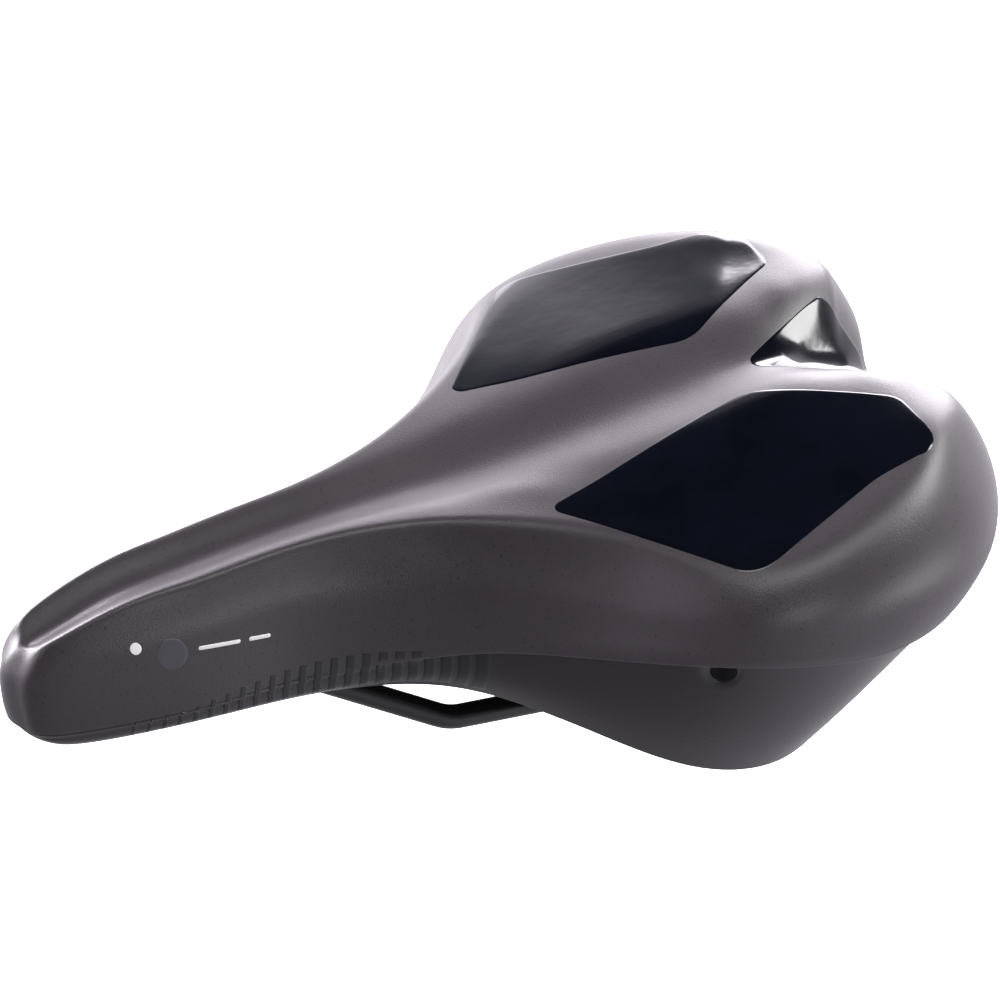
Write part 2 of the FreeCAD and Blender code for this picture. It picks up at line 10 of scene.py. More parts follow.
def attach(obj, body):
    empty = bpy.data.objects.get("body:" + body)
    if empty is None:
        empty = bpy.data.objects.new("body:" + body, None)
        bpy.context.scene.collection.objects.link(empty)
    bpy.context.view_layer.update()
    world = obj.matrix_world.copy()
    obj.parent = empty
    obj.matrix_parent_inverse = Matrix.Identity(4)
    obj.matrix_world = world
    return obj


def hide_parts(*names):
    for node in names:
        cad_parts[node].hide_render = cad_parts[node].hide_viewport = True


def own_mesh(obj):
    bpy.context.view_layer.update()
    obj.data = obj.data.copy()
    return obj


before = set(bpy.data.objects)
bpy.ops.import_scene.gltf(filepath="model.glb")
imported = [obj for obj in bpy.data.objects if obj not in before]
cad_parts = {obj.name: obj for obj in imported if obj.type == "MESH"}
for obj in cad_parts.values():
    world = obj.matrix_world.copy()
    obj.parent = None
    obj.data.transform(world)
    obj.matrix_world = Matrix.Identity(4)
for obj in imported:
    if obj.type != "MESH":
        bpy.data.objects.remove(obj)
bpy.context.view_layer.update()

MM = 0.001

# ---------------------------------------------------------------- body form
# The same form as the CAD, in millimetres: loops of stations from the nose round the left side to the notch.

SHOULDER = [
    (156.5, 0, 35.5), (155, 5, 36.5), (148, 10.2, 41.2), (112, 14, 51.5), (78, 15.5, 58.5),
    (54, 21.5, 61), (32, 34.5, 60), (5, 59, 63), (-17, 84, 69), (-47, 88, 78),
    (-76, 77, 85), (-95, 60, 86), (-105, 42, 86), (-99, 20, 81), (-94, 0, 75),
]
GIRTH = [
    (162, 0, 27), (159.4, 6.6, 27.3), (151, 13.2, 29.3), (115, 20.3, 37), (82, 22.5, 42),
    (55, 30.5, 44.5), (34, 43, 46), (9.5, 64.5, 52), (-17, 92, 57), (-52, 97.5, 60),
    (-84, 87.5, 59), (-106, 67.5, 61), (-113, 42.5, 68), (-107, 19, 73), (-102, 0, 69),
]
SEAM = [
    (158.5, 0, 12.5), (155.8, 6.6, 12.2), (147, 12.4, 12.6), (114, 20, 18), (84, 22.5, 23),
    (56, 31, 29), (33, 44, 35), (9, 67, 41.5), (-17, 91, 48.5), (-50, 94, 46),
    (-79, 82, 42.5), (-99.5, 63.5, 42), (-107, 42, 43), (-102, 18, 46), (-98, 0, 47),
]
HEM = [
    (151.5, 0, 6), (149.2, 5.8, 6), (138.5, 11.6, 7.5), (110, 18, 12.5), (82, 21.5, 16.5),
    (56, 26.5, 18), (33, 35, 15.5), (10, 53, 10), (-16, 68, 1.5), (-45, 69, -1),
    (-69, 57, 8), (-86, 44, 18), (-93, 29, 25), (-92, 14, 31), (-91, 0, 33),
]
SPINE_X = [140, 138, 132, 110, 78, 52, 30, 8, -14, -38, -56, -68, -73, -76, -78]
STATIONS = len(SEAM) - 1

# x, channel z, ridge half width, ridge z, outer half width, outer z
TOP_PROFILE = np.array([
    (165, 30, 7, 31, 10, 30), (150, 37, 10, 41, 12, 40), (130, 46, 11.5, 50, 13, 49.5),
    (110, 51, 12, 54.5, 14, 54), (90, 55.5, 12.5, 59, 15, 58.5), (70, 59, 13.5, 62.5, 18, 62),
    (50, 61.5, 16, 65.5, 27, 66), (30, 64, 19, 68.5, 42, 68.5), (10, 67.5, 20, 72.5, 66, 69.5),
    (-10, 71.5, 19.5, 77.5, 86, 70), (-30, 76, 18.5, 83, 92, 73.5), (-50, 80.5, 18.5, 87.5, 88, 79.5),
    (-70, 82, 21.5, 91, 80, 86), (-90, 76, 30, 91, 68, 91.5), (-110, 68, 46, 88, 60, 88),
])[::-1]
TOP_ROWS = (-0.22, 0.0, 0.22, 0.42, 0.60, 0.76, 0.90)     # shares of the way from spine to shoulder
OUTER_REACH = 1.6         # how far the outer slope carries on, in its own widths

# Rows of control points between the loops.
BROW_DOWN = 0.55          # share of the way from shoulder to girth
BROW_OUT = 0.25           # and a further share of it, level only
CHEEK_DOWN = 0.55         # share of the way from girth to seam
CHEEK_OUT = 1.2           # and how far out of that line
SKIRT_STEP_IN = 1.0       # how far the skirt's top lies inside the seam
SKIRT_HIGH = 0.35         # shares of the way from there to the hem
SKIRT_LOW = 0.75
SKIRT_BOW = 1.8           # how far those two rows stand out

# x, y and corner radius
PANEL_CORNERS = [
    (17.5, 32.5, 3), (-21.5, 84.5, 9), (-64, 69, 30), (-86, 65, 8), (-85.5, 40, 6), (-49.5, 15.5, 12),
]
REAR_PANEL_CORNERS = [
    (-57, 0, 4), (-95.5, 25, 3.5), (-101.5, 11, 5), (-99, 0, 20), (-101.5, -11, 5), (-95.5, -25, 3.5),
]


def hermite(x, column):
    """Smooth interpolation of one column of the top profile."""
    xs, ys = TOP_PROFILE[:, 0], TOP_PROFILE[:, column]
    x = np.clip(x, xs[0], xs[-1])
    i = np.clip(np.searchsorted(xs, x) - 1, 0, len(xs) - 2)
    before = np.maximum(np.arange(len(xs)) - 1, 0)
    after = np.minimum(np.arange(len(xs)) + 1, len(xs) - 1)
    slope = (ys[after] - ys[before]) / (xs[after] - xs[before])
    width = xs[i + 1] - xs[i]
    t = (x - xs[i]) / width
    return (
        (2 * t**3 - 3 * t**2 + 1) * ys[i]
        + (t**3 - 2 * t**2 + t) * width * slope[i]
        + (3 * t**2 - 2 * t**3) * ys[i + 1]
        + (t**3 - t**2) * width * slope[i + 1]
    )


def top_z(x, y):
    """Height of the pad's top: the channel, the ridge beside it and the slope beyond."""
    y = np.abs(y)
    channel, ridge_y, ridge_z, outer_y, outer_z = (hermite(x, k) for k in range(1, 6))
    inner = channel + (ridge_z - channel) * (0.5 - 0.5 * np.cos(np.pi * np.minimum(y / ridge_y, 1)))
    reach = np.clip((y - ridge_y) / (outer_y - ridge_y), 0, OUTER_REACH)
    return np.where(y < ridge_y, inner, ridge_z + (outer_z - ridge_z) * reach)


def loop_weights(stations):
    """Control points of the periodic cubic B-spline through the stations and their mirror images."""
    left = np.array(stations, float)
    points = np.vstack([left, left[-2:0:-1] * (1, -1, 1)])
    n = len(points)
    system = np.zeros((n, n))
    for k in range(n):
        system[k, k] = 4 / 6
        system[k, (k + 1) % n] += 1 / 6
        system[k, (k - 1) % n] += 1 / 6
    return np.linalg.solve(system, points)


LOOPS = {
    "spine": loop_weights([(x, 0, 0) for x in SPINE_X]),
    "shoulder": loop_weights(SHOULDER),
    "girth": loop_weights(GIRTH),
    "seam": loop_weights(SEAM),
    "hem": loop_weights(HEM),
}


def basis(t):
    """Weights, times six, of the four control points round a span of a cubic B-spline."""
    t = t[:, None]
    return ((1 - t)**3, 3 * t**3 - 6 * t**2 + 4, 3 * t**2 + 3 * t + 1 - 3 * t**3, t**3)


def on_loop(name, s):
    """Points of one loop at stations s."""
    controls = LOOPS[name]
    k = np.floor(s).astype(int)
    return sum(w * controls[(k + o) % len(controls)] for w, o in zip(basis(s - k), (-1, 0, 1, 2))) / 6


def outward(s):
    """Level directions out of the body, square to the girth loop."""
    along = on_loop("girth", s + 0.2) - on_loop("girth", s - 0.2)
    out = np.column_stack([along[:, 1], -along[:, 0], np.zeros(len(s))])
    return out / np.linalg.norm(out, axis=1)[:, None]


def skin_controls(s):
    """Cross section of the pad, from the centre plane over the shoulder down to the seam."""
    spine, shoulder = on_loop("spine", s), on_loop("shoulder", s)
    girth, seam = on_loop("girth", s), on_loop("seam", s)
    rows = []
    for f in TOP_ROWS:
        p = spine + (shoulder - spine) * f
        p[:, 2] = top_z(p[:, 0], p[:, 1])
        rows.append(p)
    brow = shoulder + (girth - shoulder) * BROW_DOWN + (girth - shoulder) * BROW_OUT * (1, 1, 0)
    cheek = girth + (seam - girth) * CHEEK_DOWN + outward(s) * CHEEK_OUT
    return rows + [shoulder, brow, girth, cheek, seam, seam * 2 - cheek]


def skirt_controls(s, wall=0.0):
    """Cross section of the side skirt, from the seam down to its hem; wall moves it inwards."""
    seam, hem = on_loop("seam", s), on_loop("hem", s)
    out = outward(s)
    top = seam - out * SKIRT_STEP_IN
    high = top + (hem - top) * SKIRT_HIGH + out * SKIRT_BOW
    low = top + (hem - top) * SKIRT_LOW + out * SKIRT_BOW
    rows = [top * 2 - high, top, high, low, hem, hem * 2 - low]
    return [row - out * wall for row in rows]


def section(rows, v):
    """Points at v, in spans, down the sections; one row of points per v."""
    found = []
    for value in v:
        k = min(int(value), len(rows) - 4)
        w = [float(b[0, 0]) for b in basis(np.array([value - k]))]
        found.append(sum(a * b for a, b in zip(w, rows[k:k + 4])) / 6)
    return np.array(found)


def mesh_object(name, vertices, faces):
    """Smooth-shaded object from vertices in metres, linked to the scene."""
    mesh = bpy.data.meshes.new(name)
    mesh.from_pydata([tuple(p) for p in vertices], [], faces)
    mesh.validate()
    mesh.update()
    mesh.polygons.foreach_set("use_smooth", [True] * len(mesh.polygons))
    made = bpy.data.objects.new(name, mesh)
    bpy.context.scene.collection.objects.link(made)
    return made


def body_mesh(name, rows, shared_first_row):
    """Mesh over both halves from rows round the left half; a shared first row lies on the centre plane."""
    count, columns = rows.shape[:2]
    left = rows * MM
    left[:, 0, 1] = 0
    left[:, -1, 1] = 0
    if shared_first_row:
        left[0, :, 1] = 0
    vertices = [p for row in left for p in row]
    index = np.arange(count * columns).reshape(count, columns)
    mirror = np.empty_like(index)
    for j in range(count):
        for i in range(columns):
            if i in (0, columns - 1) or (shared_first_row and j == 0):
                mirror[j, i] = index[j, i]
            else:
                mirror[j, i] = len(vertices)
                vertices.append(left[j, i] * (1, -1, 1))
    faces = []
    for j in range(count - 1):
        for i in range(columns - 1):
            faces.append((index[j, i], index[j + 1, i], index[j + 1, i + 1], index[j, i + 1]))
            faces.append((mirror[j, i], mirror[j, i + 1], mirror[j + 1, i + 1], mirror[j + 1, i]))
    faces = [tuple(dict.fromkeys(f)) for f in faces]
    return mesh_object(name, vertices, [f for f in faces if len(f) > 2])


# ---------------------------------------------------------------- cover and skirt


def ramp_up(value, start, end):
    """0 before start, 1 after end, smooth between."""
    t = np.clip((value - start) / (end - start), 0, 1)
    return t * t * (3 - 2 * t)


PLUG_STATION = 7.83       # where the plug sits round the body
PLUG_SPAN = 0.3           # and how far down the skirt, in spans
FINE_REACH = 0.3          # stations each side of the plug that are meshed finely
COLUMNS_PER_STATION = 10
FINE_COLUMNS = 61
ROWS_PER_SPAN = 7
DIMPLE_RADIUS = 6.6
DIMPLE_FLAT = 0.3         # share of that radius that lies flat at the bottom
DIMPLE_DEPTH = 2.4
LIP_PROUD = 1.1           # how far the pad stands over the skirt along the flank
LIP_ROLL = 1.3            # radius of the pad's lower edge
LIP_GROWS = (4.2, 5.6)    # stations over which that lip appears
LIP_FADES = (9.0, 11.0)   # and over which most of it goes again
LIP_LOST = 0.75
SKIRT_RECESS = 0.9        # how far the skirt steps back under the lip
NOSE_FILL = 0.8           # fills the groove at the seam where pad and skirt run flush
LIP_SPANS = (1.6, 0.1)    # spans above the seam over which the lip swells
FILL_SPANS = (1.2, -0.1)  # and over which the fill at the nose does
SKIRT_FILL_SPANS = 0.9    # spans under the seam over which the skirt's own fill fades
RECESS_SPANS = 1.8        # and over which its step back does
TUCK_IN = 3.4             # the pad's edge turns in over the top of the skirt
TUCK_UP = 0.6
TUCK_RAISE = 6.0          # and then up, out of sight
SKIRT_SPANS = 3
SKIRT_ROWS = 49
SKIRT_WALL = 2.2
HEM_ROUND_IN = 1.1        # half the wall
HEM_ROUND_DOWN = 0.5
SMOOTH_IN = 0.5           # the two steps of the smoothing nearly cancel, so the nose keeps its size
SMOOTH_OUT = -0.494
NOSE_PASSES = 150
NOSE_X = (100, 142)       # the smoothing grows towards the tip
NOSE_Z = (17, 25)         # and fades towards the seam

coarse = np.linspace(0, STATIONS, STATIONS * COLUMNS_PER_STATION + 1)
fine = np.linspace(PLUG_STATION - FINE_REACH, PLUG_STATION + FINE_REACH, FINE_COLUMNS)
s_values = np.unique(np.concatenate([coarse[(coarse < fine[0]) | (coarse > fine[-1])], fine]))
out_dirs = outward(s_values)
overhang = (ramp_up(s_values, *LIP_GROWS) * (1 - LIP_LOST * ramp_up(s_values, *LIP_FADES)))[:, None]

skin_rows = skin_controls(s_values)
skin_spans = len(skin_rows) - 3
skin_v = np.linspace(0, skin_spans, skin_spans * ROWS_PER_SPAN + 1)
skin_points = section(skin_rows, skin_v)
for row, v in zip(skin_points, skin_v):
    lip = ramp_up(v, skin_spans - LIP_SPANS[0], skin_spans - LIP_SPANS[1])
    fill = ramp_up(v, skin_spans - FILL_SPANS[0], skin_spans - FILL_SPANS[1])
    row += out_dirs * overhang * LIP_PROUD * lip
    row += out_dirs * (1 - overhang) * NOSE_FILL * fill
edge = skin_points[-1]
roll = [
    edge - out_dirs * LIP_ROLL * (1 - math.cos(a)) * (0.1 + 0.9 * overhang)
    - (0, 0, 1) * overhang * math.sin(a)
    for a in np.linspace(0, math.pi * 0.75, 7)[1:]
]
tucked = edge - out_dirs * TUCK_IN + (0, 0, TUCK_UP)
raised = tucked + (0, 0, TUCK_RAISE)
cover = body_mesh("saddle_cover", np.concatenate([skin_points, roll, [tucked], [raised]]), True)


def round_off(piece, weight, passes):
    """Smooths a mesh and hardly shrinks it; weight is how freely each vertex moves."""
    mesh = piece.data
    points = np.array([v.co for v in mesh.vertices])
    ends = np.array([e.vertices for e in mesh.edges])
    degree = np.bincount(ends.ravel(), minlength=len(points))[:, None]
    for k in range(2 * passes):
        total = np.zeros_like(points)
        np.add.at(total, ends[:, 0], points[ends[:, 1]])
        np.add.at(total, ends[:, 1], points[ends[:, 0]])
        step = SMOOTH_IN if k % 2 == 0 else SMOOTH_OUT
        points += weight[:, None] * step * (total / degree - points)
    mesh.vertices.foreach_set("co", points.ravel())
    mesh.update()


cover_points = np.array([v.co for v in cover.data.vertices]) / MM
nose_weight = ramp_up(cover_points[:, 0], *NOSE_X) * ramp_up(cover_points[:, 2], *NOSE_Z)
round_off(cover, nose_weight, NOSE_PASSES)

skirt_v = np.linspace(0, SKIRT_SPANS, SKIRT_ROWS)
outer = section(skirt_controls(s_values), skirt_v)
plug_at = section(skirt_controls(np.array([PLUG_STATION])), [PLUG_SPAN])[0, 0]
for row, v in zip(outer, skirt_v):
    row += out_dirs * (SKIRT_STEP_IN + NOSE_FILL) * (1 - overhang) * (1 - ramp_up(v, 0.0, SKIRT_FILL_SPANS))
    row -= out_dirs * SKIRT_RECESS * overhang * (1 - ramp_up(v, 0.0, RECESS_SPANS))
inner = section(skirt_controls(s_values, SKIRT_WALL), skirt_v[::-1])
for row in [*outer, *inner]:
    off = np.linalg.norm(row - plug_at, axis=1)[:, None]
    row -= out_dirs * DIMPLE_DEPTH * (1 - ramp_up(off, DIMPLE_FLAT * DIMPLE_RADIUS, DIMPLE_RADIUS))
hem_round = [
    outer[-1] - out_dirs * HEM_ROUND_IN * (1 - math.cos(a)) - (0, 0, HEM_ROUND_DOWN * math.sin(a))
    for a in np.linspace(0, math.pi, 7)[1:-1]
]
skirt = body_mesh("saddle_skirt", np.concatenate([outer, hem_round, inner, outer[:1]]), False)

# ---------------------------------------------------------------- gloss panels

PANEL_SUNK = -0.05        # the panel's outline lies just inside the cover
PANEL_LIFT = 0.10         # and its face just outside
PANEL_EDGE_STEP = 0.012   # each of the first rings shrinks by this share
PANEL_EDGE_RINGS = 4
PANEL_INNER_RINGS = (0.93, 0.04)          # size of the first and the last of the other rings
CORNER_STEPS = 16
WING_RINGS = 34
REAR_RINGS = 16
RAY_START = 0.2           # metres, well outside the saddle

bpy.context.view_layer.update()
cover_tree = BVHTree.FromPolygons(
    [v.co.copy() for v in cover.data.vertices], [tuple(p.vertices) for p in cover.data.polygons]
)


def rounded_outline(corners, spacing=1.2):
    """Closed plan outline with rounded corners, as evenly spaced points in millimetres."""
    points = [Vector((x, y)) for x, y, _ in corners]
    dense = []
    for i, (_, _, radius) in enumerate(corners):
        corner = points[i]
        to_before = (points[i - 1] - corner).normalized()
        to_after = (points[(i + 1) % len(points)] - corner).normalized()
        half = to_before.angle(to_after) / 2
        reach = radius / math.tan(half)
        centre = corner + (to_before + to_after).normalized() * (radius / math.sin(half))
        first, last = corner + to_before * reach - centre, corner + to_after * reach - centre
        turn = first.angle_signed(last)
        for k in range(CORNER_STEPS + 1):
            a = -turn * k / CORNER_STEPS
            dense.append(centre + Vector((
                first.x * math.cos(a) - first.y * math.sin(a),
                first.x * math.sin(a) + first.y * math.cos(a),
            )))
    lengths = [0.0]
    for a, b in zip(dense, dense[1:] + dense[:1]):
        lengths.append(lengths[-1] + (b - a).length)
    count = int(lengths[-1] / spacing)
    even = []
    for k in range(count):
        want = lengths[-1] * k / count
        i = int(np.searchsorted(lengths, want, side="right")) - 1
        a, b = dense[i], dense[(i + 1) % len(dense)]
        even.append(a.lerp(b, (want - lengths[i]) / max(lengths[i + 1] - lengths[i], 1e-9)))
    return even


def drop_on_cover(p):
    """Where a ray straight down at p meets the cover, and the surface normal there."""
    hit, normal, _, _ = cover_tree.ray_cast(Vector((p.x * MM, p.y * MM, RAY_START)), Vector((0, 0, -1)))
    return hit, normal


def laid_panel(name, corners, rings):
    """Thin panel that follows the cover, with a rounded edge."""
    outline = rounded_outline(corners)
    centre = sum(outline, Vector((0, 0))) / len(outline)
    reach = [1.0] + [1 - PANEL_EDGE_STEP * k for k in range(1, PANEL_EDGE_RINGS + 1)]
    reach += list(np.linspace(*PANEL_INNER_RINGS, rings))
    edge_heights = [PANEL_SUNK, 0.6 * PANEL_LIFT, 0.85 * PANEL_LIFT, 0.96 * PANEL_LIFT]
    heights = edge_heights + [PANEL_LIFT] * (len(reach) - len(edge_heights))
    vertices = []
    for scale, height in zip(reach, heights):
        for p in outline:
            hit, normal = drop_on_cover(centre + (p - centre) * scale)
            if normal.z < 0:
                normal = -normal
            vertices.append(hit + normal * height * MM)
    n = len(outline)
    faces = []
    for j in range(len(reach) - 1):
        for i in range(n):
            k = (i + 1) % n
            faces.append((j * n + i, j * n + k, (j + 1) * n + k, (j + 1) * n + i))
    hit, normal = drop_on_cover(centre)
    vertices.append(hit + normal * PANEL_LIFT * MM)
    last_ring = (len(reach) - 1) * n
    faces += [(last_ring + i, last_ring + (i + 1) % n, len(vertices) - 1) for i in range(n)]
    made = mesh_object(name, vertices, faces)
    fix = bmesh.new()
    fix.from_mesh(made.data)
    bmesh.ops.recalc_face_normals(fix, faces=fix.faces)
    if sum(f.normal.z for f in fix.faces) < 0:
        bmesh.ops.reverse_faces(fix, faces=fix.faces)
    fix.to_mesh(made.data)
    fix.free()
    return made


right_corners = [(x, -y, r) for x, y, r in reversed(PANEL_CORNERS)]
panel_left = laid_panel("gloss_inlay_left", PANEL_CORNERS, WING_RINGS)
panel_right = laid_panel("gloss_inlay_right", right_corners, WING_RINGS)
panel_rear = laid_panel("gloss_inlay_rear", REAR_PANEL_CORNERS, REAR_RINGS)

# ---------------------------------------------------------------- side bars and marks

FILM = 0.12               # thickness of the printed films
FILM_SUNK = -0.06         # and how far their outlines lie under the surface
FLANK_END = 7.5           # last station of the flank that the bars follow
BAR_PITCH = 4.2
BAR_COUNT = 23
BAR_FIRST_X = 36.5
BAR_LEAN = 0.18
BAR_WIDE = 0.88           # share of the pitch that the rearmost bar fills
BAR_NARROWING = 0.60      # and how much less the foremost one does
BAR_UPRIGHT = 0.4         # how far along the row the bars stand upright
BAR_LOW_UNTIL = 52        # the bars behind this x stop under the seam
BAR_LOW = -1.4
BAR_RISE = 5.0            # the others run up past it, most in the middle of the row
BAR_RISE_FROM = 38
BAR_RISE_LENGTH = 80
BAR_FOOT = 1.0            # gap between a bar and the hem
BAR_ROWS = (0, 0.04, 0.08, 0.2, 0.35, 0.5, 0.65, 0.8, 0.92, 0.96, 1)
BAR_COLUMNS = (-0.5, -0.42, -0.2, 0, 0.2, 0.42, 0.5)
DISC = (120.0, 36.6, 4.6)                 # x, z, radius
DOT = (129.6, 38.9, 1.6)
LONG_DASH = (113.0, 37.6, 12.5)           # x, z, length
SHORT_DASH = (98.6, 38.3, 6.5)
DASH_THICK = 1.3
DASH_RISE = 0.045
DISC_POLE = 0.04          # radians left out at the disc's top and bottom

side_tree = BVHTree.FromPolygons(
    [v.co.copy() for piece in (cover, skirt) for v in piece.data.vertices],
    [tuple(p.vertices) for p in cover.data.polygons]
    + [tuple(i + len(cover.data.vertices) for i in p.vertices) for p in skirt.data.polygons],
)


def side_point(x, z, side, lift):
    """Point on the outside of one flank at x and z, lifted off it; side is 1 for left and -1 for right."""
    hit, normal, _, _ = side_tree.ray_cast(Vector((x * MM, side * RAY_START, z * MM)), Vector((0, -side, 0)))
    if normal.y * side < 0:
        normal = -normal
    return hit + normal * lift * MM


def decal(name, patches, side):
    """Thin raised film made of patches; each patch is rows of (x, z) points, outline rows held down."""
    vertices, faces = [], []
    for rows in patches:
        start = len(vertices)
        wide = len(rows[0])
        for j, row in enumerate(rows):
            for i, (x, z) in enumerate(row):
                on_edge = j in (0, len(rows) - 1) or i in (0, wide - 1)
                vertices.append(side_point(x, z, side, FILM_SUNK if on_edge else FILM))
        for j in range(len(rows) - 1):
            for i in range(wide - 1):
                a = start + j * wide + i
                face = (a, a + 1, a + wide + 1, a + wide)
                faces.append(face if side > 0 else face[::-1])
    return mesh_object(name, vertices, faces)


flank = s_values[s_values < FLANK_END]
seam_line = on_loop("seam", flank)
hem_line = on_loop("hem", flank)


def height_at(line, x):
    """Height of the seam or hem line at x."""
    return float(np.interp(-x, -line[:, 0], line[:, 2]))


bars = []
for k in range(BAR_COUNT):
    x = BAR_FIRST_X + k * BAR_PITCH
    forward = k / (BAR_COUNT - 1)
    wide = BAR_PITCH * (BAR_WIDE - BAR_NARROWING * forward)
    above = BAR_LOW
    if x > BAR_LOW_UNTIL:
        along_rise = min(max((x - BAR_RISE_FROM) / BAR_RISE_LENGTH, 0), 1)
        above = BAR_RISE * math.sin(math.pi * along_rise)
    top = height_at(seam_line, x) + above
    bottom = height_at(hem_line, x) + BAR_FOOT
    rows = []
    for f in BAR_ROWS:
        z = top + (bottom - top) * f
        middle = x + BAR_LEAN * (z - top) * (BAR_UPRIGHT - forward)
        rows.append([(middle - wide * g, z) for g in BAR_COLUMNS])
    bars.append(rows)
bars_left = decal("side_bars_left", bars, 1)
bars_right = decal("side_bars_right", bars, -1)


def disc(x, z, radius):
    """Rows across a disc, from its top to its bottom."""
    rows = []
    for a in np.linspace(DISC_POLE, math.pi - DISC_POLE, 17):
        half = radius * math.sin(a)
        rows.append([(x + half * g, z + radius * math.cos(a)) for g in np.linspace(-1, 1, 15)])
    return rows


def rounded_dash(x, z, length):
    """Rows along a dash that starts at x and runs towards the tail, its ends rounded."""
    rows = []
    for g in (0.49, 0.38, 0.15, -0.15, -0.38, -0.49):
        inset = 0.5 * DASH_THICK * (1 - math.sqrt(1 - 4 * g * g))
        ends = np.linspace(length - inset, inset, 14)
        rows.append([(x - u, z + DASH_RISE * u + g * DASH_THICK) for u in ends])
    return rows


mark_disc = decal("mark_disc", [disc(*DISC)], 1)
mark_dot = decal("mark_dot", [disc(*DOT)], 1)
mark_dash = decal("mark_dash", [rounded_dash(*LONG_DASH), rounded_dash(*SHORT_DASH)], 1)

# ---------------------------------------------------------------- plugs in the dimples

PLUG_FACE_R = 3.9
PLUG_SUNK = 0.35          # below the bottom of the dimple
PLUG_AROUND = 32
# share of the radius and height of each ring, from the rim in to the middle
PLUG_RINGS = [
    (1.0, -0.6), (1.0, 0.25), (0.93, 0.4), (0.8, 0.3), (0.6, 0.05), (0.4, -0.1), (0.2, -0.18), (0.02, -0.2),
]
plug_out = outward(np.array([PLUG_STATION]))[0]
plug_along = np.array([-plug_out[1], plug_out[0], 0])
plug_up = np.cross(plug_out, plug_along)
plug_centre = plug_at - plug_out * (DIMPLE_DEPTH + PLUG_SUNK)
plug_vertices = []
plug_faces = []
for side in (1, -1):
    start = len(plug_vertices)
    for share, rise in PLUG_RINGS:
        for i in range(PLUG_AROUND):
            a = 2 * math.pi * i / PLUG_AROUND
            flat = plug_along * math.cos(a) + plug_up * math.sin(a)
            p = plug_centre + flat * PLUG_FACE_R * share + plug_out * rise
            plug_vertices.append(p * (1, side, 1) * MM)
    for j in range(len(PLUG_RINGS) - 1):
        for i in range(PLUG_AROUND):
            k = (i + 1) % PLUG_AROUND
            ring = start + j * PLUG_AROUND
            further = ring + PLUG_AROUND
            corners = [ring + i, ring + k, further + k, further + i]
            plug_faces.append(corners if side > 0 else corners[::-1])
plugs = mesh_object("skirt_plug_faces", plug_vertices, plug_faces)

# ---------------------------------------------------------------- elastomers

ELASTOMER_X = -69.0
ELASTOMER_Y = 15.0
ELASTOMER_LOW = 31.9
# radius at each height, from the foot to the head
ELASTOMER_PROFILE = [
    (3.6, 0.0), (9.7, 0.0), (10.3, 0.25), (10.5, 0.8), (10.5, 2.4), (10.2, 3.1), (9.3, 4.0), (8.9, 4.8),
    (8.8, 5.8), (8.8, 9.2), (8.9, 10.2), (9.3, 11.0), (10.2, 11.9), (10.5, 12.6), (10.5, 14.2), (10.3, 14.75),
    (9.7, 15.0), (3.6, 15.0),
]


def lathe(name, profile, centre, around=64):
    """Ring-shaped mesh from a closed profile of (radius, height) turned about an upright axis."""
    vertices = []
    for radius, z in profile:
        for i in range(around):
            a = 2 * math.pi * i / around
            p = (centre[0] + radius * math.cos(a), centre[1] + radius * math.sin(a), centre[2] + z)
            vertices.append(Vector(p) * MM)
    faces = []
    for j in range(len(profile)):
        n = (j + 1) % len(profile)
        for i in range(around):
            k = (i + 1) % around
            faces.append((j * around + i, j * around + k, n * around + k, n * around + i))
    return mesh_object(name, vertices, faces)


buffer_left = lathe("buffer_left", ELASTOMER_PROFILE, (ELASTOMER_X, ELASTOMER_Y, ELASTOMER_LOW))
buffer_right = lathe("buffer_right", ELASTOMER_PROFILE, (ELASTOMER_X, -ELASTOMER_Y, ELASTOMER_LOW))

# ---------------------------------------------------------------- materials


def material(name, base, rough):
    """Plain material that the textures are then linked into."""
    made = bpy.data.materials.new(name)
    made.use_nodes = True
    shader = made.node_tree.nodes["Principled BSDF"]
    shader.inputs["Base Color"].default_value = (*base, 1)
    shader.inputs["Roughness"].default_value = rough
    return made


def node(made, kind, **values):
    """New shader node; each value goes to the input of that name, or else to the node itself."""
    found = made.node_tree.nodes.new(kind)
    for key, value in values.items():
        if key in found.inputs:
            found.inputs[key].default_value = value
        else:
            setattr(found, key, value)
    return found


def link(made, a, out, b, into):
    """Links output out of node a to input into of node b."""
    made.node_tree.links.new(a.outputs[out], b.inputs[into])


def textured(name, dark, light, rough_low, rough_high, grain, bump, mottled=18.0):
    """Two-tone mottled surface with fine grain in colour, roughness and bump."""
    made = material(name, light, rough_high)
    shader = made.node_tree.nodes["Principled BSDF"]
    place = node(made, "ShaderNodeTexCoord")
    broad = node(made, "ShaderNodeTexNoise", Scale=mottled, Detail=4.0)
    fine = node(made, "ShaderNodeTexNoise", Scale=grain, Detail=3.0)
    for texture in (broad, fine):
        link(made, place, "Object", texture, "Vector")
    colour = node(made, "ShaderNodeValToRGB")
    colour.color_ramp.elements[0].position = 0.3
    colour.color_ramp.elements[0].color = (*dark, 1)
    colour.color_ramp.elements[1].position = 0.7
    colour.color_ramp.elements[1].color = (*light, 1)
    link(made, broad, "Fac", colour, "Fac")
    link(made, colour, "Color", shader, "Base Color")
    spread = node(made, "ShaderNodeMapRange")
    spread.inputs["To Min"].default_value = rough_low
    spread.inputs["To Max"].default_value = rough_high
    link(made, fine, "Fac", spread, "Value")
    link(made, spread, "Result", shader, "Roughness")
    relief = node(made, "ShaderNodeBump", Strength=bump, Distance=0.0004)
    link(made, fine, "Fac", relief, "Height")
    link(made, relief, "Normal", shader, "Normal")
    return made


